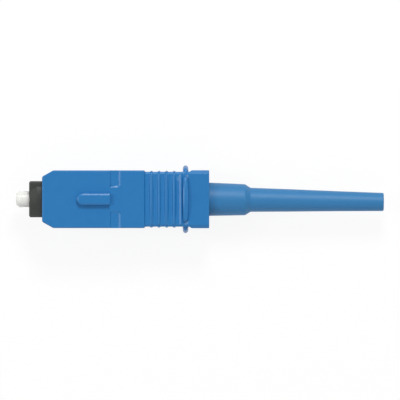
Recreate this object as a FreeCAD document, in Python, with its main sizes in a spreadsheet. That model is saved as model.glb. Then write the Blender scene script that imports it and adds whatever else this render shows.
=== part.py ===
import FreeCAD, Part
import math
import os
import Sketcher

# SC fibre connector. X runs from the ferrule's end face to the cable, Z points
# out of the keyed face, and the origin is the optical axis at the ferrule's end.

SIZES = {
    # Ferrule
    "ferrule_radius": 1.2495,
    "ferrule_length": 10.5,
    "ferrule_tip_chamfer": 0.45,
    "ferrule_tip_radius": 0.85,
    "fibre_hole_radius": 0.063,
    "fibre_funnel_length": 0.4,
    "fibre_funnel_radius": 0.4,
    "adhesive_groove_depth": 0.2,
    "adhesive_groove_width": 0.6,
    # Ferrule flange
    "flange_front": 7.45,
    "flange_radius": 2.2,
    "flange_thickness": 2.0,
    "flange_hub_radius": 1.45,
    "flange_hub_wall": 0.7,
    "flange_tube_radius": 1.05,
    "flange_tube_end": 18.6,
    "flange_notch_width": 1.0,
    "lead_in_radius": 0.5,
    "lead_in_bore_radius": 0.25,
    "lead_in_stand_out": 0.8,
    # Spring
    "wire_radius": 0.225,
    "spring_turns": 4.5,
    "spring_hub_clearance": 0.07,
    "spring_end_clearance": 0.02,
    "ferrule_travel": 1.5,
    # Plug frame
    "nose_front": 2.08,
    "nose_half_width": 2.825,
    "nose_half_height": 2.5,
    "nose_bevel": 0.2,
    "nose_edge_bevel": 0.3,
    "barrel_rise": 0.3,
    "barrel_radius": 6.5,
    "barrel_half_width": 2.225,
    "barrel_front": 2.32,
    "barrel_front_drop": 0.16,
    "barrel_full": 3.3,
    "front_bore_radius": 2.35,
    "front_bore_end": 6.6,
    "web_bore_radius": 1.9,
    "chamber_clearance": 0.1,
    "flange_gap": 0.05,
    "frame_half_width": 3.35,
    "frame_half_height": 2.75,
    "frame_rear": 21.45,
    "ear_ramp_start": 7.5,
    "ear_top_start": 8.2,
    "ear_catch": 8.9,
    "catch_half_width": 2.72,
    "catch_end": 10.9,
    "catch_ramp": 0.5,
    "key_rib_clearance": 0.1,
    "key_rib_spring_clearance": 0.08,
    "key_rib_end": 11.2,
    "wedge_start": 16.6,
    "wedge_flat": 17.6,
    "wedge_end": 18.0,
    "wedge_height": 0.6,
    "wedge_half_height": 1.1,
    # Stop ring
    "stop_front": 17.5,
    "stop_clearance": 0.02,
    "stop_bore_radius": 1.25,
    "barb_start": 19.3,
    "barb_end": 20.3,
    "barb_height": 0.22,
    "barb_clearance": 0.1,
    "barb_window_half_height": 1.0,
    "stop_collar_radius": 2.75,
    "stop_collar_front": 21.5,
    "stop_collar_thickness": 1.0,
    "neck_radius": 1.95,
    "neck_end": 28.5,
    # Boot
    "boot_front_gap": 0.1,
    "boot_root_radius": 2.6,
    "boot_taper_start": 30.2,
    "boot_shoulder_radius": 2.39,
    "boot_shoulder": 35.8,
    "boot_neck_radius": 1.86,
    "boot_neck": 37.1,
    "boot_tail_radius": 1.375,
    "boot_end": 57.5,
    "boot_end_bevel": 0.2,
    "boot_clearance": 0.05,
    "boot_pocket_room": 0.5,
    "boot_funnel_length": 0.3,
    "boot_bore_radius": 0.55,
    # Grip
    "grip_front": 4.04,
    "grip_front_half_width": 3.49,
    "grip_nose_length": 1.83,
    "grip_half_width": 4.5,
    "grip_half_height": 3.7,
    "grip_rear_half_width": 4.52,
    "grip_rear": 30.2,
    "grip_edge_bevel": 0.3,
    "grip_front_bevel": 0.25,
    "recess_depth": 0.25,
    "recess_start": 20.03,
    "recess_end": 27.5,
    "recess_front_slope": 0.24,
    "recess_rear_slope": 0.35,
    "channel_side_clearance": 0.15,
    "channel_top_clearance": 0.1,
    "front_lip_length": 1.36,
    "front_lip_gap": 0.375,
    "grip_travel": 2.0,
    "latch_gap": 0.05,
    "latch_side_gap": 0.15,
    "hook_window_front": 8.2,
    "hook_window_rear": 12.4,
    "hook_window_half_height": 1.6,
    # Grip details
    "key_front": 9.55,
    "key_rear": 14.7,
    "key_half_width": 0.88,
    "key_height": 0.8,
    "key_bevel": 0.2,
    "clip_front": 14.77,
    "clip_rear": 16.28,
    "clip_inner": 1.85,
    "clip_depth": 0.28,
    "clip_corner": 0.4,
    "rib_count": 4,
    "rib_first": 21.17,
    "rib_pitch": 1.185,
    "rib_crest_half": 0.1,
    "rib_root_depth": 0.15,
    "rib_top_rise": 0.2,
    "rib_top_radius": 40.0,
    "rib_top_half_length": 4.0,
    "rib_side_drop": 0.02,
    "rib_side_radius": 50.0,
    "rib_side_half_length": 3.2,
    "ridge_place": 25.87,
    "ridge_height": 0.15,
    "bar_place": 26.5,
    "bar_height": 1.05,
    "bar_half_thickness": 0.3,
    "bar_draft": 0.14,
    "bar_crest_bevel": 0.2,
    "bar_radius": 14.0,
    "bar_top_half_length": 3.6,
    "bar_side_half_length": 2.9,
    # Construction
    "cut_over": 0.5,
    "join_depth": 0.1,
}


class Size:
    """A value of the sheet, or a formula of such values, with its number beside it."""

    def __init__(self, value, formula):
        self.value = value
        self.formula = formula

    def __add__(self, other):
        other = as_size(other)
        return Size(self.value + other.value, f"({self.formula} + {other.formula})")

    def __sub__(self, other):
        other = as_size(other)
        return Size(self.value - other.value, f"({self.formula} - {other.formula})")

    def __mul__(self, other):
        other = as_size(other)
        return Size(self.value * other.value, f"({self.formula} * {other.formula})")

    def __truediv__(self, other):
        other = as_size(other)
        return Size(self.value / other.value, f"({self.formula} / {other.formula})")

    def __neg__(self):
        return Size(-self.value, f"(-1 * {self.formula})")

    def __rmul__(self, other):
        return as_size(other) * self


def as_size(value):
    if isinstance(value, Size):
        return value
    return Size(float(value), str(value))


def sweep_angle(half_length, radius):
    """The full angle, in degrees, of an arc of this radius between two ends half_length off its middle."""
    value = 2 * math.degrees(math.asin(half_length.value / radius.value))
    return Size(value, f"(2 * asin({half_length.formula} / {radius.formula}))")


class Names:
    """Holds one Size for each alias of the sheet."""


doc = FreeCAD.newDocument("sc_connector")
sheet = doc.addObject("Spreadsheet::Sheet", "sizes")
d = Names()
for row, (alias, number) in enumerate(SIZES.items(), 1):
    sheet.set(f"A{row}", alias.replace("_", " "))
    sheet.set(f"B{row}", str(number))
    sheet.setAlias(f"B{row}", alias)
    setattr(d, alias, Size(float(number), f"sizes.{alias}"))
doc.recompute()


# ---- helpers ----


def new_body(label):
    body = doc.addObject("PartDesign::Body", label)
    body.Label = label
    return body


def origin_part(body, role):
    return [f for f in body.Origin.OriginFeatures if f.Role == role][0]


def new_sketch(body, name, plane, offset=None):
    sketch = body.newObject("Sketcher::SketchObject", name)
    sketch.AttachmentSupport = [(origin_part(body, plane), "")]
    sketch.MapMode = "FlatFace"
    if offset is not None:
        sketch.setExpression("AttachmentOffset.Base.z", offset.formula)
    return sketch


def tie(sketch, constraint, formula):
    index = sketch.addConstraint(constraint)
    sketch.setExpression(f"Constraints[{index}]", formula)


def tie_place(sketch, geometry, end, upright, point):
    """Holds the height of one point of the sketch, or else its distance along the sketch."""
    kind, axis = ("DistanceY", -1) if upright else ("DistanceX", -2)
    place = as_size(point[1] if upright else point[0])
    if abs(place.value) < 1e-9:
        sketch.addConstraint(Sketcher.Constraint("PointOnObject", geometry, end, axis))
    elif place.value > 0:
        tie(sketch, Sketcher.Constraint(kind, -1, 1, geometry, end, place.value), place.formula)
    else:
        place = -place
        tie(sketch, Sketcher.Constraint(kind, geometry, end, -1, 1, place.value), place.formula)


def tie_point(sketch, geometry, end, x, y):
    """Holds one point of the sketch at the formulas x and y."""
    tie_place(sketch, geometry, end, False, (x, y))
    tie_place(sketch, geometry, end, True, (x, y))


def flat(x, y):
    return FreeCAD.Vector(as_size(x).value, as_size(y).value, 0)


def draw_outline(sketch, points, arcs=None):
    """Draws a closed outline, anticlockwise, through points given as formulas.

    arcs holds the centre of the arc that leads from a point, by that point's number.
    """
    arcs = arcs or {}
    first = sketch.GeometryCount
    count = len(points)
    for i in range(count):
        start = flat(*points[i])
        end = flat(*points[(i + 1) % count])
        if i in arcs:
            centre = flat(*arcs[i])
            circle = Part.Circle(centre, FreeCAD.Vector(0, 0, 1), (start - centre).Length)
            angle = math.atan2(start.y - centre.y, start.x - centre.x)
            last = math.atan2(end.y - centre.y, end.x - centre.x)
            sketch.addGeometry(Part.ArcOfCircle(circle, angle, last), False)
        else:
            sketch.addGeometry(Part.LineSegment(start, end), False)
    for i in range(count):
        following = first + (i + 1) % count
        sketch.addConstraint(Sketcher.Constraint("Coincident", first + i, 2, following, 1))
    for i in range(count):
        tie_point(sketch, first + i, 1, *points[i])
    for i, centre in arcs.items():
        chord = flat(*points[(i + 1) % count]) - flat(*points[i])
        tie_place(sketch, first + i, 3, abs(chord.x) > abs(chord.y), centre)


def draw_rectangle(sketch, left, low, right, high):
    draw_outline(sketch, [(left, low), (right, low), (right, high), (left, high)])


def draw_axis(sketch, start, end, height):
    """Draws a construction line along X at this height, to turn a profile about."""
    index = sketch.addGeometry(Part.LineSegment(flat(start, height), flat(end, height)), True)
    tie_point(sketch, index, 1, start, height)
    tie_point(sketch, index, 2, end, height)


def extrude(body, kind, name, sketch, length, symmetric=False, reverse=False, taper=None):
    feature = body.newObject(f"PartDesign::{kind}", name)
    feature.Profile = sketch
    feature.SideType = "Symmetric" if symmetric else "One side"
    feature.Reversed = reverse
    feature.setExpression("Length", as_size(length).formula)
    if taper is not None:
        feature.TaperAngle = taper
    sketch.Visibility = False
    doc.recompute()
    return feature


def turn(body, kind, name, sketch, axis, angle=None):
    """Turns a profile about an axis: a full turn, or an angle with the sketch in its middle."""
    feature = body.newObject(f"PartDesign::{kind}", name)
    feature.Profile = sketch
    feature.ReferenceAxis = axis
    if angle is None:
        feature.Angle = 360
    else:
        feature.Midplane = True
        feature.setExpression("Angle", angle.formula)
    sketch.Visibility = False
    doc.recompute()
    return feature


def turned_body(label, profile):
    """A body of one full turn about X, from a profile of distances along X and radii."""
    body = new_body(label)
    sketch = new_sketch(body, f"{label}_profile", "XZ_Plane")
    draw_outline(sketch, profile)
    turn(body, "Revolution", f"{label}_turned", sketch, (origin_part(body, "X_Axis"), [""]))
    return body


def mirror(body, name, original, plane):
    feature = body.newObject("PartDesign::Mirrored", name)
    feature.Originals = [original]
    feature.MirrorPlane = (origin_part(body, plane), [""])
    body.Tip = feature
    doc.recompute()
    return feature


def soften(body, kind, name, size, wanted):
    """Fillets or chamfers those edges of the body for which wanted(edge) holds."""
    base = body.Tip
    edges = []
    for number, edge in enumerate(base.Shape.Edges, 1):
        if wanted(edge):
            edges.append(f"Edge{number}")
    feature = body.newObject(f"PartDesign::{kind}", name)
    feature.Base = (base, edges)
    field = "Radius" if kind == "Fillet" else "Size"
    feature.setExpression(field, size.formula)
    doc.recompute()
    return feature


def near(number, size):
    return abs(number - as_size(size).value) < 1e-4


# ---- ferrule ----

ferrule_rear_land = d.flange_front + d.adhesive_groove_width
ferrule = turned_body("ferrule", [
    (0, d.fibre_hole_radius),
    (d.ferrule_length - d.fibre_funnel_length, d.fibre_hole_radius),
    (d.ferrule_length, d.fibre_funnel_radius),
    (d.ferrule_length, d.ferrule_radius),
    (ferrule_rear_land, d.ferrule_radius),
    (ferrule_rear_land, d.ferrule_radius - d.adhesive_groove_depth),
    (d.flange_front, d.ferrule_radius - d.adhesive_groove_depth),
    (d.flange_front, d.ferrule_radius),
    (d.ferrule_tip_chamfer, d.ferrule_radius),
    (0, d.ferrule_tip_radius),
])

# ---- ferrule flange ----

flange_rear = d.flange_front + d.flange_thickness
hub_end = d.ferrule_length + d.flange_hub_wall
ferrule_flange = turned_body("ferrule_flange", [
    (d.flange_front, d.ferrule_radius),
    (d.ferrule_length, d.ferrule_radius),
    (d.ferrule_length, d.lead_in_radius),
    (d.flange_tube_end, d.lead_in_radius),
    (d.flange_tube_end, d.flange_tube_radius),
    (hub_end, d.flange_tube_radius),
    (hub_end, d.flange_hub_radius),
    (flange_rear, d.flange_hub_radius),
    (flange_rear, d.flange_radius),
    (d.flange_front, d.flange_radius),
])
notch_sketch = new_sketch(ferrule_flange, "notch_outline", "YZ_Plane", d.flange_front)
coil_radius = d.flange_hub_radius + d.spring_hub_clearance + d.wire_radius
key_rib_foot = coil_radius + d.wire_radius + d.key_rib_spring_clearance
notch_floor = key_rib_foot - d.key_rib_clearance
notch_half = d.flange_notch_width / 2
for side in (1, -1):
    floor = side * notch_floor
    rim = side * (d.flange_radius + d.cut_over)
    draw_rectangle(notch_sketch, -notch_half, floor if side > 0 else rim,
                   notch_half, rim if side > 0 else floor)
extrude(ferrule_flange, "Pocket", "notches", notch_sketch, d.flange_thickness, reverse=True)

# ---- lead-in tube ----

lead_in_end = d.flange_tube_end + d.lead_in_stand_out
lead_in_tube = turned_body("lead_in_tube", [
    (d.ferrule_length, d.lead_in_bore_radius),
    (lead_in_end, d.lead_in_bore_radius),
    (lead_in_end, d.lead_in_radius),
    (d.ferrule_length, d.lead_in_radius),
])

# ---- spring ----

spring = new_body("spring")
coil_start = flange_rear + d.wire_radius + d.spring_end_clearance
coil_end = d.stop_front - d.wire_radius - d.spring_end_clearance
wire_sketch = new_sketch(spring, "wire_section", "XZ_Plane")
wire_facet = d.wire_radius * as_size(math.sqrt(3) / 2)
draw_outline(wire_sketch, [
    (coil_start, coil_radius - d.wire_radius),
    (coil_start + wire_facet, coil_radius - d.wire_radius / 2),
    (coil_start + wire_facet, coil_radius + d.wire_radius / 2),
    (coil_start, coil_radius + d.wire_radius),
    (coil_start - wire_facet, coil_radius + d.wire_radius / 2),
    (coil_start - wire_facet, coil_radius - d.wire_radius / 2),
])
coil = spring.newObject("PartDesign::AdditiveHelix", "coil")
coil.Profile = wire_sketch
coil.ReferenceAxis = (origin_part(spring, "X_Axis"), [""])
coil.Mode = "height-turns-angle"
coil.setExpression("Height", (coil_end - coil_start).formula)
coil.setExpression("Turns", d.spring_turns.formula)
wire_sketch.Visibility = False
doc.recompute()

# ---- plug frame ----

plug_frame = new_body("plug_frame")
nose_sketch = new_sketch(plug_frame, "nose_section", "YZ_Plane", d.nose_front)
draw_rectangle(nose_sketch, -d.nose_half_width, -d.nose_half_height,
               d.nose_half_width, d.nose_half_height)
extrude(plug_frame, "Pad", "nose", nose_sketch, d.ear_top_start - d.nose_front)
soften(plug_frame, "Chamfer", "nose_key_edges", d.nose_edge_bevel,
       lambda e: near(e.BoundBox.ZMin, d.nose_half_height) and e.BoundBox.XLength > 1)
soften(plug_frame, "Chamfer", "nose_front_edges", d.nose_bevel,
       lambda e: near(e.BoundBox.XMax, d.nose_front))

frame_sketch = new_sketch(plug_frame, "frame_plan", "XY_Plane")
upper_side = [
    (d.frame_rear, d.frame_half_width),
    (d.catch_end + d.catch_ramp, d.frame_half_width),
    (d.catch_end, d.catch_half_width),
    (d.ear_catch, d.catch_half_width),
    (d.ear_catch, d.frame_half_width),
    (d.ear_top_start, d.frame_half_width),
    (d.ear_ramp_start, d.nose_half_width),
]
lower_side = [(x, -y) for x, y in reversed(upper_side)]
draw_outline(frame_sketch, upper_side + lower_side)
extrude(plug_frame, "Pad", "frame", frame_sketch, 2 * d.frame_half_height, symmetric=True)

barrel_sketch = new_sketch(plug_frame, "barrel_profile", "XZ_Plane")
barrel_top = d.nose_half_height + d.barrel_rise
barrel_axis = barrel_top - d.barrel_radius
barrel_floor = d.nose_half_height - d.join_depth
draw_outline(barrel_sketch, [
    (d.barrel_front, barrel_floor),
    (d.ear_top_start, barrel_floor),
    (d.ear_top_start, barrel_top),
    (d.barrel_full, barrel_top),
    (d.barrel_front, barrel_top - d.barrel_front_drop),
])
draw_axis(barrel_sketch, d.barrel_front, d.ear_top_start, barrel_axis)
barrel = turn(plug_frame, "Revolution", "barrel", barrel_sketch, (barrel_sketch, ["Axis0"]),
              sweep_angle(d.barrel_half_width, d.barrel_radius))
mirror(plug_frame, "barrel_below", barrel, "XY_Plane")

bore_sketch = new_sketch(plug_frame, "bore_profile", "XZ_Plane")
web_rear = d.flange_front - d.flange_gap
chamber_radius = d.flange_radius + d.chamber_clearance
barb_radius = chamber_radius - d.stop_clearance + d.barb_height
snap_groove_radius = barb_radius + d.barb_clearance
snap_groove_front = d.barb_start - d.barb_clearance
snap_groove_rear = d.barb_end + d.barb_clearance
draw_outline(bore_sketch, [
    (d.nose_front - d.cut_over, 0),
    (d.frame_rear + d.cut_over, 0),
    (d.frame_rear + d.cut_over, chamber_radius),
    (snap_groove_rear, chamber_radius),
    (snap_groove_rear, snap_groove_radius),
    (snap_groove_front, snap_groove_radius),
    (snap_groove_front, chamber_radius),
    (web_rear, chamber_radius),
    (web_rear, d.web_bore_radius),
    (d.front_bore_end, d.web_bore_radius),
    (d.front_bore_end, d.front_bore_radius),
    (d.nose_front - d.cut_over, d.front_bore_radius),
])
turn(plug_frame, "Groove", "bores", bore_sketch, (origin_part(plug_frame, "X_Axis"), [""]))

key_rib_sketch = new_sketch(plug_frame, "key_rib_section", "YZ_Plane", web_rear)
key_rib_half = notch_half - d.key_rib_clearance
key_rib_head = chamber_radius + d.join_depth
draw_rectangle(key_rib_sketch, -key_rib_half, key_rib_foot, key_rib_half, key_rib_head)
draw_rectangle(key_rib_sketch, -key_rib_half, -key_rib_head, key_rib_half, -key_rib_foot)
extrude(plug_frame, "Pad", "key_ribs", key_rib_sketch, d.key_rib_end - web_rear)

snap_sketch = new_sketch(plug_frame, "snap_window_outline", "XZ_Plane")
draw_rectangle(snap_sketch, snap_groove_front, -d.barb_window_half_height,
               snap_groove_rear, d.barb_window_half_height)
extrude(plug_frame, "Pocket", "snap_windows", snap_sketch,
        2 * (d.frame_half_width + d.cut_over), symmetric=True)

wedge_sketch = new_sketch(plug_frame, "wedge_profile", "XY_Plane")
wedge_top = d.frame_half_width + d.wedge_height
wedge_foot = d.frame_half_width - d.join_depth
draw_outline(wedge_sketch, [
    (d.wedge_start, wedge_foot),
    (d.wedge_end, wedge_foot),
    (d.wedge_end, wedge_top),
    (d.wedge_flat, wedge_top),
    (d.wedge_start, d.frame_half_width),
])
wedge = extrude(plug_frame, "Pad", "wedge", wedge_sketch, 2 * d.wedge_half_height, symmetric=True)
mirror(plug_frame, "wedge_opposite", wedge, "XZ_Plane")

# ---- stop ring ----

stop_radius = chamber_radius - d.stop_clearance
collar_rear = d.stop_collar_front + d.stop_collar_thickness
stop_ring = turned_body("stop_ring", [
    (d.stop_front, d.stop_bore_radius),
    (d.neck_end, d.stop_bore_radius),
    (d.neck_end, d.neck_radius),
    (collar_rear, d.neck_radius),
    (collar_rear, d.stop_collar_radius),
    (d.stop_collar_front, d.stop_collar_radius),
    (d.stop_collar_front, stop_radius),
    (d.barb_end, stop_radius),
    (d.barb_end, barb_radius),
    (d.barb_start, stop_radius),
    (d.stop_front, stop_radius),
])

# ---- boot ----

boot_front = collar_rear + d.boot_front_gap
boot_pocket_radius = d.neck_radius + d.boot_clearance
boot_pocket_end = d.neck_end + d.boot_pocket_room
boot = turned_body("boot", [
    (boot_front, boot_pocket_radius),
    (boot_pocket_end, boot_pocket_radius),
    (boot_pocket_end, d.boot_bore_radius + d.boot_funnel_length),
    (boot_pocket_end + d.boot_funnel_length, d.boot_bore_radius),
    (d.boot_end, d.boot_bore_radius),
    (d.boot_end, d.boot_tail_radius - d.boot_end_bevel),
    (d.boot_end - d.boot_end_bevel, d.boot_tail_radius),
    (d.boot_neck, d.boot_neck_radius),
    (d.boot_shoulder, d.boot_shoulder_radius),
    (d.boot_taper_start, d.boot_root_radius),
    (boot_front, d.boot_root_radius),
])

# ---- grip ----

grip = new_body("grip")
nose_end = d.grip_front + d.grip_nose_length
recess_half_width = d.grip_half_width - d.recess_depth
recess_half_height = d.grip_half_height - d.recess_depth
plan_sketch = new_sketch(grip, "grip_plan", "XY_Plane")
upper_side = [
    (d.grip_rear, d.grip_rear_half_width),
    (d.recess_end, d.grip_rear_half_width),
    (d.recess_end - d.recess_rear_slope, recess_half_width),
    (d.recess_start + d.recess_front_slope, recess_half_width),
    (d.recess_start, d.grip_half_width),
    (nose_end, d.grip_half_width),
    (d.grip_front, d.grip_front_half_width),
]
lower_side = [(x, -y) for x, y in reversed(upper_side)]
draw_outline(plan_sketch, upper_side + lower_side)
extrude(grip, "Pad", "grip_block", plan_sketch, 2 * d.grip_half_height, symmetric=True)

waist_sketch = new_sketch(grip, "waist_profile", "XZ_Plane")
draw_outline(waist_sketch, [
    (d.recess_start + d.recess_front_slope, recess_half_height),
    (d.recess_end - d.recess_rear_slope, recess_half_height),
    (d.recess_end, d.grip_half_height),
    (d.recess_end, d.grip_half_height + d.cut_over),
    (d.recess_start, d.grip_half_height + d.cut_over),
    (d.recess_start, d.grip_half_height),
])
across_grip = 2 * (d.grip_rear_half_width + d.cut_over)
waist = extrude(grip, "Pocket", "waist", waist_sketch, across_grip, symmetric=True)
mirror(grip, "waist_below", waist, "XY_Plane")

bevel_sketch = new_sketch(grip, "long_edge_bevels", "YZ_Plane", d.grip_front - d.cut_over)
for side_y in (1, -1):
    for side_z in (1, -1):
        across = side_y * (d.grip_half_width + d.cut_over)
        inner = side_y * (d.grip_half_width - d.grip_edge_bevel - d.cut_over)
        above = side_z * (d.grip_half_height + d.cut_over)
        below = side_z * (d.grip_half_height - d.grip_edge_bevel - d.cut_over)
        corner = [(inner, above), (across, below), (across, above)]
        draw_outline(bevel_sketch, corner if side_y * side_z > 0 else corner[::-1])
extrude(grip, "Pocket", "long_edges", bevel_sketch,
        d.grip_rear - d.grip_front + 2 * d.cut_over, reverse=True)
soften(grip, "Chamfer", "front_edges", d.grip_front_bevel,
       lambda e: near(e.BoundBox.XMax, d.grip_front) and e.BoundBox.YLength > 4)

channel_sketch = new_sketch(grip, "channel_plan", "XY_Plane")
channel_half_width = d.frame_half_width + d.channel_side_clearance
lip_half_width = d.nose_half_width + d.front_lip_gap
lip_rear = d.grip_front + d.front_lip_length
draw_outline(channel_sketch, [
    (d.grip_front - d.cut_over, -lip_half_width),
    (lip_rear, -lip_half_width),
    (lip_rear, -channel_half_width),
    (d.grip_rear + d.cut_over, -channel_half_width),
    (d.grip_rear + d.cut_over, channel_half_width),
    (lip_rear, channel_half_width),
    (lip_rear, lip_half_width),
    (d.grip_front - d.cut_over, lip_half_width),
])
channel_half_height = barrel_top + d.channel_top_clearance
extrude(grip, "Pocket", "channel", channel_sketch, 2 * channel_half_height, symmetric=True)

window_sketch = new_sketch(grip, "window_outlines", "XZ_Plane")
draw_rectangle(window_sketch, d.hook_window_front, -d.hook_window_half_height,
               d.hook_window_rear, d.hook_window_half_height)
slot_half = d.wedge_half_height + d.latch_side_gap
draw_rectangle(window_sketch, d.wedge_start - d.grip_travel - d.latch_gap, -slot_half,
               d.wedge_end + d.latch_gap, slot_half)
extrude(grip, "Pocket", "windows", window_sketch, across_grip, symmetric=True)

clip_sketch = new_sketch(grip, "clip_recess_outlines", "XY_Plane", d.grip_half_height)
clip_outer = d.grip_half_width + d.clip_depth + d.cut_over
inner_corner = d.clip_inner + d.clip_corner
draw_outline(clip_sketch, [
    (d.clip_front, d.clip_inner),
    (d.clip_rear - d.clip_corner, d.clip_inner),
    (d.clip_rear, inner_corner),
    (d.clip_rear, clip_outer),
    (d.clip_front, clip_outer),
], {1: (d.clip_rear - d.clip_corner, inner_corner)})
draw_outline(clip_sketch, [
    (d.clip_front, -clip_outer),
    (d.clip_rear, -clip_outer),
    (d.clip_rear, -inner_corner),
    (d.clip_rear - d.clip_corner, -d.clip_inner),
    (d.clip_front, -d.clip_inner),
], {2: (d.clip_rear - d.clip_corner, -inner_corner)})
clips = extrude(grip, "Pocket", "clip_recesses", clip_sketch, d.clip_depth, taper=-45)
mirror(grip, "clip_recesses_below", clips, "XY_Plane")

rib_count = int(d.rib_count.value)


def draw_ribs(sketch, crest, root, radius):
    """Draws one rib section for each rib, and the axis that bows their crests."""
    half_root = d.rib_crest_half + crest - root
    for number in range(rib_count):
        middle = d.rib_first + number * d.rib_pitch
        draw_outline(sketch, [
            (middle - half_root, root),
            (middle + half_root, root),
            (middle + d.rib_crest_half, crest),
            (middle - d.rib_crest_half, crest),
        ])
    draw_axis(sketch, d.rib_first, d.rib_first + d.rib_pitch, crest - radius)


top_rib_sketch = new_sketch(grip, "top_rib_sections", "XZ_Plane")
draw_ribs(top_rib_sketch, d.grip_half_height + d.rib_top_rise,
          recess_half_height - d.rib_root_depth, d.rib_top_radius)
top_ribs = turn(grip, "Revolution", "top_ribs", top_rib_sketch, (top_rib_sketch, ["Axis0"]),
                sweep_angle(d.rib_top_half_length, d.rib_top_radius))
mirror(grip, "bottom_ribs", top_ribs, "XY_Plane")

side_rib_sketch = new_sketch(grip, "side_rib_sections", "XY_Plane")
draw_ribs(side_rib_sketch, d.grip_half_width - d.rib_side_drop,
          recess_half_width - d.rib_root_depth, d.rib_side_radius)
side_ribs = turn(grip, "Revolution", "side_ribs", side_rib_sketch, (side_rib_sketch, ["Axis0"]),
                 sweep_angle(d.rib_side_half_length, d.rib_side_radius))
mirror(grip, "side_ribs_opposite", side_ribs, "XZ_Plane")

ridge_sketch = new_sketch(grip, "ridge_section", "XZ_Plane")
ridge_foot = recess_half_height - d.rib_root_depth
ridge_half = d.ridge_height + d.rib_root_depth
draw_outline(ridge_sketch, [
    (d.ridge_place - ridge_half, ridge_foot),
    (d.ridge_place + ridge_half, ridge_foot),
    (d.ridge_place, recess_half_height + d.ridge_height),
])
ridge = extrude(grip, "Pad", "ridge", ridge_sketch, 2 * d.rib_top_half_length, symmetric=True)
mirror(grip, "ridge_below", ridge, "XY_Plane")


def draw_bar(sketch, base, root):
    """Draws the section of a collar bar with a bevelled crest, and the axis that bows it."""
    crest = base + d.bar_height
    foot_half = d.bar_half_thickness + d.bar_draft
    crest_half = d.bar_half_thickness - d.bar_crest_bevel
    draw_outline(sketch, [
        (d.bar_place - foot_half, root),
        (d.bar_place + foot_half, root),
        (d.bar_place + d.bar_half_thickness, crest - d.bar_crest_bevel),
        (d.bar_place + crest_half, crest),
        (d.bar_place - crest_half, crest),
        (d.bar_place - d.bar_half_thickness, crest - d.bar_crest_bevel),
    ])
    draw_axis(sketch, d.bar_place - foot_half, d.bar_place + foot_half, crest - d.bar_radius)


top_bar_sketch = new_sketch(grip, "top_bar_section", "XZ_Plane")
draw_bar(top_bar_sketch, recess_half_height, recess_half_height - d.rib_root_depth)
top_bar = turn(grip, "Revolution", "top_bar", top_bar_sketch, (top_bar_sketch, ["Axis0"]),
               sweep_angle(d.bar_top_half_length, d.bar_radius))
mirror(grip, "bottom_bar", top_bar, "XY_Plane")

side_bar_sketch = new_sketch(grip, "side_bar_section", "XY_Plane")
draw_bar(side_bar_sketch, recess_half_width, recess_half_width - d.rib_root_depth)
side_bar = turn(grip, "Revolution", "side_bar", side_bar_sketch, (side_bar_sketch, ["Axis0"]),
                sweep_angle(d.bar_side_half_length, d.bar_radius))
mirror(grip, "side_bar_opposite", side_bar, "XZ_Plane")

key_sketch = new_sketch(grip, "key_outline", "XY_Plane", d.grip_half_height)
key_centre = d.key_front + d.key_half_width
draw_outline(key_sketch, [
    (key_centre, -d.key_half_width),
    (d.key_rear, -d.key_half_width),
    (d.key_rear, d.key_half_width),
    (key_centre, d.key_half_width),
], {3: (key_centre, 0)})
extrude(grip, "Pad", "key", key_sketch, d.key_height)
soften(grip, "Chamfer", "key_edges", d.key_bevel,
       lambda e: near(e.BoundBox.ZMin, d.grip_half_height + d.key_height))

# ---- check and write ----

doc.recompute()
for item in doc.Objects:
    for state in item.State:
        if state in ("Invalid", "Error"):
            raise RuntimeError(f"{item.Name} is {state}")
os.makedirs("parts", exist_ok=True)
for body in doc.findObjects("PartDesign::Body"):
    shape = body.Shape
    if shape.isNull() or not shape.isValid() or len(shape.Solids) != 1:
        raise RuntimeError(f"{body.Label} is not one valid solid")
    shape.exportStep(f"parts/{body.Label}.step")
    print(body.Label, round(shape.Volume, 3), [round(v, 3) for v in (
        shape.BoundBox.XMin, shape.BoundBox.XMax, shape.BoundBox.YMin,
        shape.BoundBox.YMax, shape.BoundBox.ZMin, shape.BoundBox.ZMax)])
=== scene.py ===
import math

import bmesh
import bpy
from mathutils import Matrix, Vector


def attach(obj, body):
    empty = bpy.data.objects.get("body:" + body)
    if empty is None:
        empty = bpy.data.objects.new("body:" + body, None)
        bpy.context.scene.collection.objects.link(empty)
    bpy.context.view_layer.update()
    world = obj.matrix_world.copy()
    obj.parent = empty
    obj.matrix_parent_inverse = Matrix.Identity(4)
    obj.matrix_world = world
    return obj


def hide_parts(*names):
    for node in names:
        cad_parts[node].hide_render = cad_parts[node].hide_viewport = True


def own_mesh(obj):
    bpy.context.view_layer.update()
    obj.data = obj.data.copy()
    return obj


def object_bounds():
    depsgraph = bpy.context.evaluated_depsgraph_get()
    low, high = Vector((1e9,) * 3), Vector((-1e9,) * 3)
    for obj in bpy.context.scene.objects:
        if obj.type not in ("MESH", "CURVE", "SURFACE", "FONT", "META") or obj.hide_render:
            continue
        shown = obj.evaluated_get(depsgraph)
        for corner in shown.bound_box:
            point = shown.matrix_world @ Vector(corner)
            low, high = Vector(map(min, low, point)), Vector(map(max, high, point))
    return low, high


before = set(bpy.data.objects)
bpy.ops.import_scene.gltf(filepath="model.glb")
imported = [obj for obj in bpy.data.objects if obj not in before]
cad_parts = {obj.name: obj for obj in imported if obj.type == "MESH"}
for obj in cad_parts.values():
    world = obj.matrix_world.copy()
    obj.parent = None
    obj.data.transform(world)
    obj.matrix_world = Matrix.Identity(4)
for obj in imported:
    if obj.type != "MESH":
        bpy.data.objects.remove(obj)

cad_low, cad_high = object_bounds()

MM = 0.001


# ---- mesh helpers: pieces are made at one unit to the millimetre, and finish_piece scales them ----

SAME_POINT = 1e-4
LARGEST_CUT = 0.49


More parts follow.
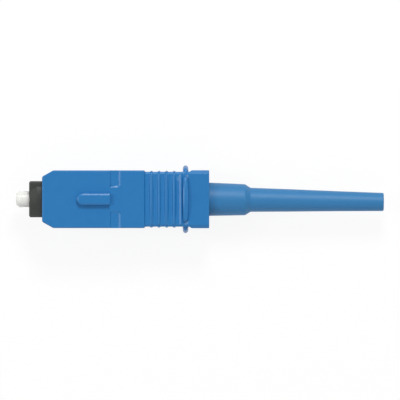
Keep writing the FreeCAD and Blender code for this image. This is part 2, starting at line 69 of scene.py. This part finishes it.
def make_object(name, points, faces):
    """A mesh object in the scene, with its faces turned outward."""
    mesh = bpy.data.meshes.new(name)
    mesh.from_pydata(points, [], faces)
    obj = bpy.data.objects.new(name, mesh)
    bpy.context.scene.collection.objects.link(obj)
    work = bmesh.new()
    work.from_mesh(mesh)
    bmesh.ops.recalc_face_normals(work, faces=work.faces)
    work.to_mesh(mesh)
    work.free()
    return obj


def loft(name, rings, closed_path=False):
    """A closed skin over rings of equal count. The first and last are capped unless the path closes."""
    count = len(rings[0])
    points = [p for ring in rings for p in ring]
    faces = []
    last = len(rings) if closed_path else len(rings) - 1
    for i in range(last):
        a = i * count
        b = (i + 1) % len(rings) * count
        for j in range(count):
            k = (j + 1) % count
            faces.append((a + j, a + k, b + k, b + j))
    if not closed_path:
        faces.append(tuple(range(count - 1, -1, -1)))
        faces.append(tuple((len(rings) - 1) * count + j for j in range(count)))
    return make_object(name, points, faces)


def lathe(name, profile, steps):
    """A full turn about X of a closed profile of (x, radius)."""
    rings = []
    for i in range(steps):
        turn = 2 * math.pi * i / steps
        rings.append([(x, r * math.cos(turn), r * math.sin(turn)) for x, r in profile])
    return loft(name, rings, closed_path=True)


def soften_profile(points, radii, steps=4):
    """Rounds the corners of a closed profile: radii holds a radius by the corner's number."""
    out = []
    count = len(points)
    for i, point in enumerate(points):
        radius = radii.get(i, 0)
        if radius <= 0:
            out.append(point)
            continue
        here = Vector(point)
        before = Vector(points[i - 1]) - here
        after = Vector(points[(i + 1) % count]) - here
        half = before.angle(after) / 2
        cut = min(radius / math.tan(half), before.length * LARGEST_CUT, after.length * LARGEST_CUT)
        start = here + before.normalized() * cut
        end = here + after.normalized() * cut
        for k in range(steps + 1):
            t = k / steps
            p = start * (1 - t) ** 2 + here * 2 * t * (1 - t) + end * t ** 2
            out.append((p.x, p.y))
    return out


def prism(name, outline, low, high, axis):
    """A straight prism: an outline of (x, other) from low to high along axis, which is "y" or "z"."""
    def place(x, other, along):
        return (x, along, other) if axis == "y" else (x, other, along)
    return loft(name, [[place(x, other, along) for x, other in outline] for along in (low, high)])


def split_faces(obj):
    """Cuts all faces into triangles."""
    work = bmesh.new()
    work.from_mesh(obj.data)
    bmesh.ops.triangulate(work, faces=work.faces)
    work.to_mesh(obj.data)
    work.free()


def gather(name, pieces):
    """One object from pieces that don't touch, so that they are joined or cut in one step."""
    points, faces = [], []
    for piece in pieces:
        start = len(points)
        points += [tuple(vertex.co) for vertex in piece.data.vertices]
        faces += [tuple(start + i for i in face.vertices) for face in piece.data.polygons]
        bpy.data.objects.remove(piece)
    return make_object(name, points, faces)


def apply_modifiers(obj):
    graph = bpy.context.evaluated_depsgraph_get()
    mesh = bpy.data.meshes.new_from_object(obj.evaluated_get(graph))
    obj.modifiers.clear()
    obj.data = mesh


def combine(obj, other, kind):
    """Joins other to obj, or cuts it away, exactly."""
    split_faces(obj)
    split_faces(other)
    step = obj.modifiers.new("step", "BOOLEAN")
    step.operation = kind
    step.solver = "EXACT"
    step.object = other
    apply_modifiers(obj)
    bpy.data.objects.remove(other)


def smooth(obj, angle):
    """Shades smooth by the larger faces' slope, with edges sharper than the angle (degrees) kept."""
    work = bmesh.new()
    work.from_mesh(obj.data)
    bmesh.ops.remove_doubles(work, verts=work.verts, dist=SAME_POINT)
    limit = math.radians(angle)
    for face in work.faces:
        face.smooth = True
    for edge in work.edges:
        edge.smooth = len(edge.link_faces) == 2 and edge.calc_face_angle(0) < limit
    work.to_mesh(obj.data)
    work.free()
    even = obj.modifiers.new("even", "WEIGHTED_NORMAL")
    even.mode = "FACE_AREA"
    even.weight = 100
    even.keep_sharp = True
    apply_modifiers(obj)


def finish_piece(obj, material, body, slot, *nodes):
    """Scales a finished mesh to metres, paints it, and sets it in its body in place of CAD nodes."""
    obj.data.transform(Matrix.Scale(MM, 4))
    obj.data.materials.clear()
    obj.data.materials.append(material)
    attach(obj, body)
    if nodes:
        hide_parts(*nodes)


# ---- materials ----

MOTTLE_SCALE = 900.0
GRAIN_SCALE = 14000.0
GRAIN_DEPTH = 0.000008
EDGE_RADIUS = 0.00005
EDGE_SAMPLES = 6
MOULDED_SPREAD = 0.05
METAL_SPREAD = 0.08
LATHE_LINE_SCALE = 60.0
LATHE_LINE_DEPTH = 0.00001
LATHE_LINE_STRENGTH = 0.15


def linear(red, green, blue):
    """An sRGB colour of 0 to 255 as linear RGBA."""
    out = []
    for c in (red, green, blue):
        c /= 255
        out.append(c / 12.92 if c <= 0.04045 else ((c + 0.055) / 1.055) ** 2.4)
    return (*out, 1.0)


def new_material(name):
    material = bpy.data.materials.new(name)
    material.use_nodes = True
    return material, material.node_tree.nodes, material.node_tree.links


def noise(nodes, links, where, scale, detail):
    """The strength of a noise texture over a vector."""
    texture = nodes.new("ShaderNodeTexNoise")
    texture.inputs["Scale"].default_value = scale
    texture.inputs["Detail"].default_value = detail
    links.new(where, texture.inputs["Vector"])
    return texture.outputs["Fac"]


def spread(nodes, links, strength, middle, width):
    """A strength of 0 to 1, spread evenly about a middle value."""
    node = nodes.new("ShaderNodeMapRange")
    node.inputs["To Min"].default_value = middle - width
    node.inputs["To Max"].default_value = middle + width
    links.new(strength, node.inputs["Value"])
    return node.outputs["Result"]


def bump(nodes, links, height, strength, depth):
    node = nodes.new("ShaderNodeBump")
    node.inputs["Strength"].default_value = strength
    node.inputs["Distance"].default_value = depth
    links.new(height, node.inputs["Height"])
    return node


def moulded(name, colour, roughness, mottle=0.04, grain=0.25, soft_edges=True):
    """Moulded plastic: a faint uneven colour, fine spark-eroded grain and softened edges."""
    material, nodes, links = new_material(name)
    shader = nodes["Principled BSDF"]
    where = nodes.new("ShaderNodeTexCoord").outputs["Object"]
    patches = noise(nodes, links, where, MOTTLE_SCALE, 3.0)
    paint = nodes.new("ShaderNodeMix")
    paint.data_type = "RGBA"
    paint.blend_type = "MULTIPLY"
    paint.inputs["Factor"].default_value = 1.0
    paint.inputs["A"].default_value = colour
    links.new(spread(nodes, links, patches, 1.0, mottle), paint.inputs["B"])
    links.new(paint.outputs["Result"], shader.inputs["Base Color"])
    links.new(spread(nodes, links, patches, roughness, MOULDED_SPREAD), shader.inputs["Roughness"])
    surface = bump(nodes, links, noise(nodes, links, where, GRAIN_SCALE, 2.0), grain, GRAIN_DEPTH)
    if soft_edges:
        soft = nodes.new("ShaderNodeBevel")
        soft.samples = EDGE_SAMPLES
        soft.inputs["Radius"].default_value = EDGE_RADIUS
        links.new(soft.outputs["Normal"], surface.inputs["Normal"])
    links.new(surface.outputs["Normal"], shader.inputs["Normal"])
    return material


def metal(name, colour, roughness, scratch_scale):
    """Turned and plated metal with fine lathe lines round X."""
    material, nodes, links = new_material(name)
    shader = nodes["Principled BSDF"]
    shader.inputs["Metallic"].default_value = 1.0
    shader.inputs["Base Color"].default_value = colour
    where = nodes.new("ShaderNodeTexCoord").outputs["Object"]
    stretch = nodes.new("ShaderNodeMapping")
    stretch.inputs["Scale"].default_value = (scratch_scale, LATHE_LINE_SCALE, LATHE_LINE_SCALE)
    links.new(where, stretch.inputs["Vector"])
    lines = noise(nodes, links, stretch.outputs["Vector"], 1.0, 4.0)
    links.new(spread(nodes, links, lines, roughness, METAL_SPREAD), shader.inputs["Roughness"])
    surface = bump(nodes, links, lines, LATHE_LINE_STRENGTH, LATHE_LINE_DEPTH)
    links.new(surface.outputs["Normal"], shader.inputs["Normal"])
    return material


def let_light_through(material, weight, depth):
    """Lets light pass a little way under the surface, evenly in all colours."""
    inputs = material.node_tree.nodes["Principled BSDF"].inputs
    inputs["Subsurface Weight"].default_value = weight
    inputs["Subsurface Radius"].default_value = (1.0, 1.0, 1.0)
    inputs["Subsurface Scale"].default_value = depth


BLUE = moulded("blue_moulding", linear(32, 121, 187), 0.34)
BOOT_BLUE = moulded("boot_blue", linear(44, 124, 181), 0.5, mottle=0.05, grain=0.35)
BLACK = moulded("black_moulding", linear(52, 55, 51), 0.45, mottle=0.08)
CERAMIC = moulded("white_ceramic", linear(253, 252, 246), 0.3, mottle=0.01, grain=0.02)
let_light_through(CERAMIC, 0.5, 0.0016)
WAXY = moulded("waxy_tube", linear(235, 235, 230), 0.4, mottle=0.02, grain=0.1, soft_edges=False)
PLATED = metal("nickel_plating", linear(214, 210, 202), 0.28, 30000.0)
STEEL = metal("spring_wire", linear(196, 196, 198), 0.3, 9000.0)


# ---- grip: the shell ----

GRIP_FRONT = 4.12
GRIP_REAR = 30.2
FRONT_ROUND = 0.2
REAR_ROUND = 0.14
END_STEPS = 5
BEVEL_ROUND = 0.08
HALF_Y = 4.5
HALF_Z = 3.7
# The finger recess, in which the ribs and collar bars stand.
RECESS_HALF_Y = 4.285
RECESS_HALF_Z = 3.45

# Each table holds (x, value) from the front to the rear: half the width in plan, half the height
# seen from the side, and the width and height of the bevels along the four corners.
PLAN = [(GRIP_FRONT, 3.52), (5.80, 4.465), (5.95, HALF_Y), (19.97, HALF_Y), (20.06, 4.47),
        (20.22, 4.31), (20.32, RECESS_HALF_Y), (27.0, RECESS_HALF_Y), (27.12, 4.31), (27.44, 4.49),
        (27.54, 4.52), (GRIP_REAR, 4.52)]
SIDE = [(GRIP_FRONT, HALF_Z), (19.97, HALF_Z), (20.06, 3.68), (20.22, 3.47), (20.32, RECESS_HALF_Z),
        (26.5, RECESS_HALF_Z), (26.95, 3.68), (27.05, HALF_Z), (GRIP_REAR, HALF_Z)]
BEVEL_WIDTH = [(GRIP_FRONT, 0.15), (19.97, 0.15), (20.3, 0.32), (27.1, 0.32), (27.54, 0.52),
               (GRIP_REAR, 0.52)]
BEVEL_HEIGHT = [(GRIP_FRONT, 0.14), (19.97, 0.14), (20.3, 0.18), (27.1, 0.18), (27.54, 0.32),
                (GRIP_REAR, 0.32)]


def read_table(x, table):
    """The value at x of a broken line of (x, value)."""
    if x <= table[0][0]:
        return table[0][1]
    for (x0, v0), (x1, v1) in zip(table, table[1:]):
        if x <= x1:
            return v0 + (v1 - v0) * (x - x0) / (x1 - x0)
    return table[-1][1]


def end_inset(x, end, radius):
    """How far a rounded end draws its outline in, near the end."""
    near = abs(x - end)
    if near >= radius:
        return 0.0
    return radius - math.sqrt(max(radius ** 2 - (radius - near) ** 2, 0))


def box_ring(x, half_y, half_z, width, height):
    """A rectangle across X with bevelled corners, whose own edges are rounded."""
    corners = [(half_y, -half_z + height), (half_y, half_z - height),
               (half_y - width, half_z), (-half_y + width, half_z),
               (-half_y, half_z - height), (-half_y, -half_z + height),
               (-half_y + width, -half_z), (half_y - width, -half_z)]
    rounded = soften_profile(corners, dict.fromkeys(range(8), BEVEL_ROUND), steps=3)
    return [(x, y, z) for y, z in rounded]


def grip_shell():
    """The grip's outside without its raised forms, as rings along X with both ends rounded."""
    stations = set()
    for k in range(END_STEPS + 1):
        share = 1 - math.cos(math.radians(90 / END_STEPS * k))
        stations.add(round(GRIP_FRONT + FRONT_ROUND * share, 4))
        stations.add(round(GRIP_REAR - REAR_ROUND * share, 4))
    for table in (PLAN, SIDE, BEVEL_WIDTH, BEVEL_HEIGHT):
        stations.update(x for x, _ in table)
    rings = []
    for x in sorted(stations):
        inset = end_inset(x, GRIP_FRONT, FRONT_ROUND) + end_inset(x, GRIP_REAR, REAR_ROUND)
        rings.append(box_ring(x, read_table(x, PLAN) - inset, read_table(x, SIDE) - inset,
                              read_table(x, BEVEL_WIDTH), read_table(x, BEVEL_HEIGHT)))
    return loft("grip_moulding", rings)


# ---- grip: ribs, ridges and collar bars ----

def places(half_length, steps=48):
    """Places along a rib or bar, closer together toward its ends."""
    return [half_length * math.sin((-1 + 2 * i / steps) * math.pi / 2) for i in range(steps + 1)]


def bow(place, radius):
    """How far a bowed crest has dropped at a place."""
    return radius - math.sqrt(radius ** 2 - place ** 2)


def dome(place, half_length, end_length, least=0.0):
    """One along the middle, falling as a quarter circle over the last end_length.

    least is the smallest that its square may be, so that an end doesn't shrink to nothing.
    """
    near_end = max(abs(place) - (half_length - end_length), 0) / end_length
    return math.sqrt(max(1 - near_end ** 2, least))


def stand(section, place, sign, face):
    """A section of (x, height), set up at a place on a broad or a narrow face."""
    if face == "broad":
        return [(x, place, sign * height) for x, height in section]
    return [(x, sign * height, place) for x, height in section]


RIB_FIRST = 21.17
RIB_PITCH = 1.185
RIB_COUNT = 4
RIB_BOW = 60.0
RIB_END = 0.3
RIB_SINK = 0.12
RIB_NARROWING = 0.3
RIB_END_FOOT = 0.6
# Half a rib's section from foot to crest, as shares of half its foot and of its rise.
RIB_SECTION = [(1.0, 0.0), (0.86, 0.1), (0.72, 0.3), (0.56, 0.58), (0.4, 0.82), (0.24, 0.95),
               (0.08, 1.0)]
TOP_RIB = {"face": "broad", "floor": RECESS_HALF_Z, "top": 3.74, "half_length": 4.05,
           "half_foot": 0.42}
SIDE_RIB = {"face": "narrow", "floor": 4.26, "top": 4.46, "half_length": 3.38,
            "half_foot": 0.34}


def rib_mesh(middle, sign, face, floor, top, half_length, half_foot):
    """A soft rib across a face. Its crest bows, it narrows to its ends, and its ends die away."""
    rings = []
    for place in places(half_length):
        rise = max(top - bow(place, RIB_BOW) - floor, 0.0) * dome(place, half_length, RIB_END, 0.0004)
        narrowing = 1 - RIB_NARROWING * (place / half_length) ** 2
        end_share = RIB_END_FOOT + (1 - RIB_END_FOOT) * dome(place, half_length, RIB_END)
        foot = half_foot * narrowing * end_share
        shares = [(-u, v) for u, v in RIB_SECTION] + RIB_SECTION[::-1]
        section = [(middle + u * foot, floor + v * rise) for u, v in shares]
        root = floor - RIB_SINK
        section = [(section[0][0], root)] + section + [(section[-1][0], root)]
        rings.append(stand(section, place, sign, face))
    return loft("rib", rings)


RIDGE_SECTION = [(25.38, 3.34), (25.44, 3.44), (25.6, 3.54), (25.76, 3.59), (25.88, 3.59),
                 (25.96, 3.55), (26.03, 3.46), (26.08, 3.34)]
RIDGE_HALF = 4.0
RIDGE_END = 0.1
RIDGE_END_DROP = 0.08


def ridge_mesh(sign):
    """The straight ridge in front of the collar bar."""
    rings = []
    for place in (-RIDGE_HALF, RIDGE_END - RIDGE_HALF, RIDGE_HALF - RIDGE_END, RIDGE_HALF):
        drop = RIDGE_END_DROP if abs(place) == RIDGE_HALF else 0
        rings.append(stand([(x, height - drop) for x, height in RIDGE_SECTION], place, sign, "broad"))
    return loft("ridge", rings)


# A leaning rim, as shares of its width and height from the side wall in to the top.
RIM = [(0.0, 0.0), (0.08, 0.3), (0.2, 0.5), (0.7, 0.92), (0.88, 0.99), (1.0, 1.0)]

BAR_MIDDLE = 26.5
BAR_HEIGHT = 1.05
BAR_HALF_FOOT = 0.45
BAR_NARROWING = 0.12
BAR_LEAN = 0.03
BAR_SINK = 0.15
BAR_TIP = 0.22
BAR_LEAST_TOP = 0.06
TOP_BAR = {"face": "broad", "base": RECESS_HALF_Z, "half_length": 3.54, "end_length": 0.4,
           "bow_radius": 14.0, "half_top": 0.1, "rim_height": 0.16}
SIDE_BAR = {"face": "narrow", "base": 4.25, "half_length": 2.95, "end_length": 0.45,
            "bow_radius": 8.0, "half_top": 0.06, "rim_height": 0.4}


def bar_mesh(sign, face, base, half_length, end_length, bow_radius, half_top, rim_height):
    """A thin collar bar: a lens in plan, with a bowed crest, leaning sides and domed ends."""
    rings = []
    for place in places(half_length):
        tip = dome(place, half_length, BAR_TIP, 0.04)
        rise = (BAR_HEIGHT - bow(place, bow_radius)) * dome(place, half_length, end_length, 0.0009)
        shrink = BAR_NARROWING * (place / half_length) ** 2
        foot = (BAR_HALF_FOOT - shrink) * tip
        top = max(half_top - shrink * 0.5, BAR_LEAST_TOP) * tip
        rim = min(rim_height, rise * 0.5)
        outline = [(-foot, base - BAR_SINK), (-foot, base)]
        for across, up in RIM:
            x = -foot + BAR_LEAN + (foot - BAR_LEAN - top) * across
            outline.append((x, base + rise - rim * (1 - up)))
        outline += [(-x, height) for x, height in reversed(outline)]
        rings.append(stand([(BAR_MIDDLE + x, height) for x, height in outline], place, sign, face))
    return loft("bar", rings)


# ---- grip: key, clip recesses and openings ----

KEY_FRONT = 9.57
KEY_REAR = 14.76
KEY_HALF = 0.88
KEY_FOOT = 3.6
KEY_TOP = 4.5
KEY_RIM_WIDTH = 0.3
KEY_RIM_HEIGHT = 0.15
KEY_ARC_STEPS = 16
KEY_REAR_ROUND = 0.1


def key_outline(inset):
    """The key in plan: round in front and square behind, drawn in by inset."""
    radius = KEY_HALF - inset
    centre = KEY_FRONT + KEY_HALF
    rear = KEY_REAR - inset * 0.5
    points = []
    for k in range(KEY_ARC_STEPS + 1):
        turn = math.radians(90 + 180 * k / KEY_ARC_STEPS)
        points.append((centre + radius * math.cos(turn), radius * math.sin(turn)))
    straight = centre + 0.2
    corners = [(straight, -radius), (rear, -radius), (rear, radius), (straight, radius)]
    return points + soften_profile(corners, {1: KEY_REAR_ROUND, 2: KEY_REAR_ROUND})


def key_mesh():
    """The key, as levels from inside the shell up to its flat top, with a leaning rim."""
    levels = [(KEY_FOOT, 0.0)]
    for across, up in RIM:
        levels.append((KEY_TOP - KEY_RIM_HEIGHT * (1 - up), KEY_RIM_WIDTH * across))
    return loft("key", [[(x, y, z) for x, y in key_outline(inset)] for z, inset in levels])


CLIP_FRONT = KEY_REAR
CLIP_REAR = 16.38
CLIP_INNER = 1.8
CLIP_OUTER = HALF_Y + 0.8
CLIP_DEPTH = 0.15
CLIP_CORNER = 0.42
CLIP_LEAN = 0.34
CLIP_FRONT_LEAN = 0.1
CLIP_ARC_STEPS = 8
# Levels down a clip recess, as its height and the share of its walls' lean taken by then.
CLIP_LEVELS = [(HALF_Z + 0.1, -0.5), (HALF_Z, 0.0), (HALF_Z - CLIP_DEPTH * 0.3, 0.2),
               (HALF_Z - CLIP_DEPTH * 0.9, 0.8), (HALF_Z - CLIP_DEPTH, 1.0)]


def clip_outline(share):
    """A clip recess in plan: a steep front wall, leaning rear and inner walls, a round corner."""
    inset = CLIP_LEAN * share
    radius = CLIP_CORNER - inset * 0.6
    front = CLIP_FRONT + CLIP_FRONT_LEAN * share
    rear, inner = CLIP_REAR - inset, CLIP_INNER + inset
    points = [(front, inner)]
    for k in range(CLIP_ARC_STEPS + 1):
        turn = math.radians(-90 + 90 * k / CLIP_ARC_STEPS)
        points.append((rear - radius + radius * math.cos(turn),
                       inner + radius + radius * math.sin(turn)))
    return points + [(rear, CLIP_OUTER), (front, CLIP_OUTER)]


def clip_cutter(side_y, side_z):
    return loft("clip", [[(x, side_y * y, side_z * z) for x, y in clip_outline(share)]
                         for z, share in CLIP_LEVELS])


CUT_OVER = 1
LIP_REAR = 5.4
LIP_HALF_Y = 3.2
CHANNEL_HALF_Y = 3.5
CHANNEL_HALF_Z = 2.9
WINDOW_REACH = 6
WINDOW_CORNER = 0.25
# Front, lower, rear and upper edge of the windows in the narrow sides.
WINDOWS = ((8.2, -1.6, 12.4, 1.6), (14.55, -1.25, 18.05, 1.25))


def channel_cutter():
    """The way through the grip, narrower behind the front opening's lip."""
    upper = [(GRIP_REAR + CUT_OVER, CHANNEL_HALF_Y), (LIP_REAR, CHANNEL_HALF_Y), (LIP_REAR, LIP_HALF_Y),
             (GRIP_FRONT - CUT_OVER, LIP_HALF_Y)]
    lower = [(x, -y) for x, y in reversed(upper)]
    return prism("channel", lower + upper, -CHANNEL_HALF_Z, CHANNEL_HALF_Z, "z")


def window_cutter(front, lower, rear, upper):
    outline = soften_profile([(front, lower), (rear, lower), (rear, upper), (front, upper)],
                             dict.fromkeys(range(4), WINDOW_CORNER))
    return prism("window", outline, -WINDOW_REACH, WINDOW_REACH, "y")


def grip_mesh():
    """The shell with its raised forms joined on, and its recesses, channel and windows cut."""
    shell = grip_shell()
    ribs = [rib_mesh(RIB_FIRST + RIB_PITCH * n, sign, **size)
            for n in range(RIB_COUNT) for sign in (1, -1) for size in (TOP_RIB, SIDE_RIB)]
    ridges = [ridge_mesh(sign) for sign in (1, -1)]
    bars = [bar_mesh(sign, **size) for sign in (1, -1) for size in (TOP_BAR, SIDE_BAR)]
    clips = [clip_cutter(side_y, side_z) for side_y in (1, -1) for side_z in (1, -1)]
    windows = [window_cutter(*edges) for edges in WINDOWS]
    combine(shell, gather("ribs", ribs + ridges), "UNION")
    combine(shell, gather("bars_and_key", bars + [key_mesh()]), "UNION")
    combine(shell, gather("clips", clips), "DIFFERENCE")
    combine(shell, channel_cutter(), "DIFFERENCE")
    combine(shell, gather("windows", windows), "DIFFERENCE")
    return shell


grip = grip_mesh()
smooth(grip, 40)
finish_piece(grip, BLUE, "outer_grip", "blue_plastic", "grip")


# ---- boot ----

BOOT_FRONT = 22.6
BOOT_REAR = 57.5
NECK_RADIUS = 2.0
NECK_END = 29.0
BORE_RADIUS = 0.55
# From the neck's socket through the bore to the tail's end, and back outside over the shoulder.
BOOT_PROFILE = [
    (BOOT_FRONT, NECK_RADIUS), (NECK_END, NECK_RADIUS), (NECK_END, 0.85), (29.3, BORE_RADIUS),
    (BOOT_REAR, BORE_RADIUS), (BOOT_REAR, 1.42), (50.0, 1.575), (43.0, 1.75), (36.65, 1.885),
    (35.82, 2.43), (33.0, 2.52), (GRIP_REAR, 2.6), (BOOT_FRONT, 2.6),
]
BOOT_ROUNDS = {5: 0.22, 8: 0.35, 9: 0.5}
BOOT_BEND_START = 30.0
BOOT_BEND = 0.43
BOOT_BEND_POWER = 1.1


def boot_mesh():
    """The turned boot, whose tail sags a little to one side."""
    turned = lathe("boot_moulding", soften_profile(BOOT_PROFILE, BOOT_ROUNDS, steps=6), 112)
    for vertex in turned.data.vertices:
        if vertex.co.x > BOOT_BEND_START:
            share = (vertex.co.x - BOOT_BEND_START) / (BOOT_REAR - BOOT_BEND_START)
            vertex.co.y -= BOOT_BEND * share ** BOOT_BEND_POWER
    return turned


boot = boot_mesh()
smooth(boot, 50)
finish_piece(boot, BOOT_BLUE, "connector", "boot_plastic", "boot")


# ---- ferrule ----

# From the tip through the fibre hole and its funnel, and back outside over the groove.
FERRULE_PROFILE = [
    (0, 0.063), (10.1, 0.063), (10.5, 0.4), (10.5, 1.2495), (8.05, 1.2495), (8.05, 1.0495),
    (7.45, 1.0495), (7.45, 1.2495), (0.45, 1.2495), (0.0, 0.85),
]
FERRULE_ROUNDS = {8: 0.15, 9: 0.12}

ferrule = lathe("ferrule_pin", soften_profile(FERRULE_PROFILE, FERRULE_ROUNDS), 96)
smooth(ferrule, 40)
finish_piece(ferrule, CERAMIC, "ferrule_group", "zirconia", "ferrule")


# ---- spring ----

SPRING_FRONT = 9.47
SPRING_REAR = 17.48
SPRING_TURNS = 4.5
COIL_RADIUS = 1.745
WIRE_RADIUS = 0.225
WIRE_SIDES = 12
WIRE_STEPS = 170


def spring_mesh():
    """An open coil of round wire between the flange and the stop ring."""
    start, end = SPRING_FRONT + WIRE_RADIUS, SPRING_REAR - WIRE_RADIUS
    rings = []
    for i in range(WIRE_STEPS + 1):
        share = i / WIRE_STEPS
        turn = 2 * math.pi * SPRING_TURNS * share + math.pi / 2
        x = start + (end - start) * share
        out = Vector((math.cos(turn), math.sin(turn)))
        ring = []
        for j in range(WIRE_SIDES):
            around = 2 * math.pi * j / WIRE_SIDES
            y, z = out * (COIL_RADIUS + WIRE_RADIUS * math.sin(around))
            ring.append((x + WIRE_RADIUS * math.cos(around), y, z))
        rings.append(ring)
    return loft("spring_wire", rings)


spring = spring_mesh()
smooth(spring, 60)
finish_piece(spring, STEEL, "ferrule_group", "spring_steel", "spring")
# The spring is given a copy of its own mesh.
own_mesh(spring)


# ---- plug frame, stop ring, flange and tube keep their solids ----

KEPT_SOLIDS = [
    ("plug_frame", BLACK, "black_plastic"),
    ("stop_ring", PLATED, "nickel_plate"),
    ("ferrule_flange", PLATED, "nickel_plate"),
    ("lead_in_tube", WAXY, "ptfe"),
]

for node, material, slot in KEPT_SOLIDS:
    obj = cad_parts[node]
    obj.data.materials.clear()
    obj.data.materials.append(material)


# ---- floor, world, lamps and camera ----

FLOOR_HALF = 0.9
FLOOR_GAP = 0.00002
FLOOR_PLAIN = 0.85
FLOOR_PALE = 0.12
FLOOR_GLOW = 0.89
SKY = 0.35
# Heights of a direction, of 0 to 1, between which the seen world goes from white to plain sky.
WHITE_UP_TO = 0.35
SKY_FROM = 0.65


def seen_ray(nodes, links):
    """One where a camera, glossy or transmission ray looks, and nothing where light gathers."""
    path = nodes.new("ShaderNodeLightPath")
    total = path.outputs["Is Camera Ray"]
    for kind in ("Is Glossy Ray", "Is Transmission Ray"):
        step = nodes.new("ShaderNodeMath")
        step.operation = "MAXIMUM"
        links.new(total, step.inputs[0])
        links.new(path.outputs[kind], step.inputs[1])
        total = step.outputs[0]
    return total


def diffuse(nodes, grey):
    """A matt shader of an even grey."""
    node = nodes.new("ShaderNodeBsdfDiffuse")
    node.inputs["Color"].default_value = (grey, grey, grey, 1)
    return node.outputs[0]


def floor_material():
    """Pale floor that is seen near white, with the object's shadow kept faintly."""
    material, nodes, links = new_material("pale_floor")
    nodes.clear()
    out = nodes.new("ShaderNodeOutputMaterial")
    glow = nodes.new("ShaderNodeEmission")
    glow.inputs["Strength"].default_value = FLOOR_GLOW
    both = nodes.new("ShaderNodeAddShader")
    links.new(diffuse(nodes, FLOOR_PALE), both.inputs[0])
    links.new(glow.outputs[0], both.inputs[1])
    mix = nodes.new("ShaderNodeMixShader")
    links.new(seen_ray(nodes, links), mix.inputs["Fac"])
    links.new(diffuse(nodes, FLOOR_PLAIN), mix.inputs[1])
    links.new(both.outputs[0], mix.inputs[2])
    links.new(mix.outputs[0], out.inputs["Surface"])
    return material


def studio_world():
    """An even sky, seen white near the horizon so that the floor's far edge doesn't show."""
    world = bpy.data.worlds.new("studio")
    world.use_nodes = True
    nodes, links = world.node_tree.nodes, world.node_tree.links
    back = nodes["Background"]
    back.inputs["Color"].default_value = (1, 1, 1, 1)
    parts = nodes.new("ShaderNodeSeparateXYZ")
    links.new(nodes.new("ShaderNodeTexCoord").outputs["Generated"], parts.inputs["Vector"])
    fade = nodes.new("ShaderNodeMapRange")
    fade.inputs["From Min"].default_value = WHITE_UP_TO
    fade.inputs["From Max"].default_value = SKY_FROM
    fade.inputs["To Min"].default_value = 1.0
    fade.inputs["To Max"].default_value = SKY
    links.new(parts.outputs["Z"], fade.inputs["Value"])
    strength = nodes.new("ShaderNodeMix")
    strength.inputs["A"].default_value = SKY
    links.new(seen_ray(nodes, links), strength.inputs["Factor"])
    links.new(fade.outputs["Result"], strength.inputs["B"])
    links.new(strength.outputs["Result"], back.inputs["Strength"])
    return world


floor = make_object("floor", [(-FLOOR_HALF, -FLOOR_HALF, 0), (FLOOR_HALF, -FLOOR_HALF, 0),
                              (FLOOR_HALF, FLOOR_HALF, 0), (-FLOOR_HALF, FLOOR_HALF, 0)], [(0, 1, 2, 3)])
floor.location.z = cad_low.z - FLOOR_GAP
floor.data.materials.append(floor_material())
bpy.context.scene.world = studio_world()

LAMP_AIM = (0.028, 0, 0)


def lamp(name, place, side, power):
    """A square lamp, aimed at the middle of the object."""
    light = bpy.data.lights.new(name, "AREA")
    light.shape = "RECTANGLE"
    light.size = light.size_y = side
    light.energy = power
    obj = bpy.data.objects.new(name, light)
    bpy.context.scene.collection.objects.link(obj)
    obj.location = place
    obj.rotation_mode = "QUATERNION"
    obj.rotation_quaternion = (Vector(LAMP_AIM) - Vector(place)).to_track_quat("-Z", "Y")


lamp("key_light", (0.06, 0.27, 0.3), 0.11, 0.8)
lamp("side_light", (-0.25, 0.03, 0.31), 0.09, 0.32)
lamp("near_light", (0.03, -0.26, 0.33), 0.25, 0.13)
lamp("far_light", (0.3, 0.0, 0.3), 0.25, 0.1)

# A long lens, looking straight down from a metre above the grip's broad face.
CAMERA_DISTANCE = 1.0
CAMERA_MIDDLE = (0.02876, -0.00012)

camera_data = bpy.data.cameras.new("camera")
camera_data.lens = 577.3
camera_data.sensor_width = 36.0
camera_data.clip_start = 0.01
camera = bpy.data.objects.new("camera", camera_data)
camera.location = (*CAMERA_MIDDLE, CAMERA_DISTANCE + HALF_Z * MM)
bpy.context.scene.collection.objects.link(camera)
bpy.context.scene.camera = camera
bpy.context.scene.view_settings.view_transform = "Standard"
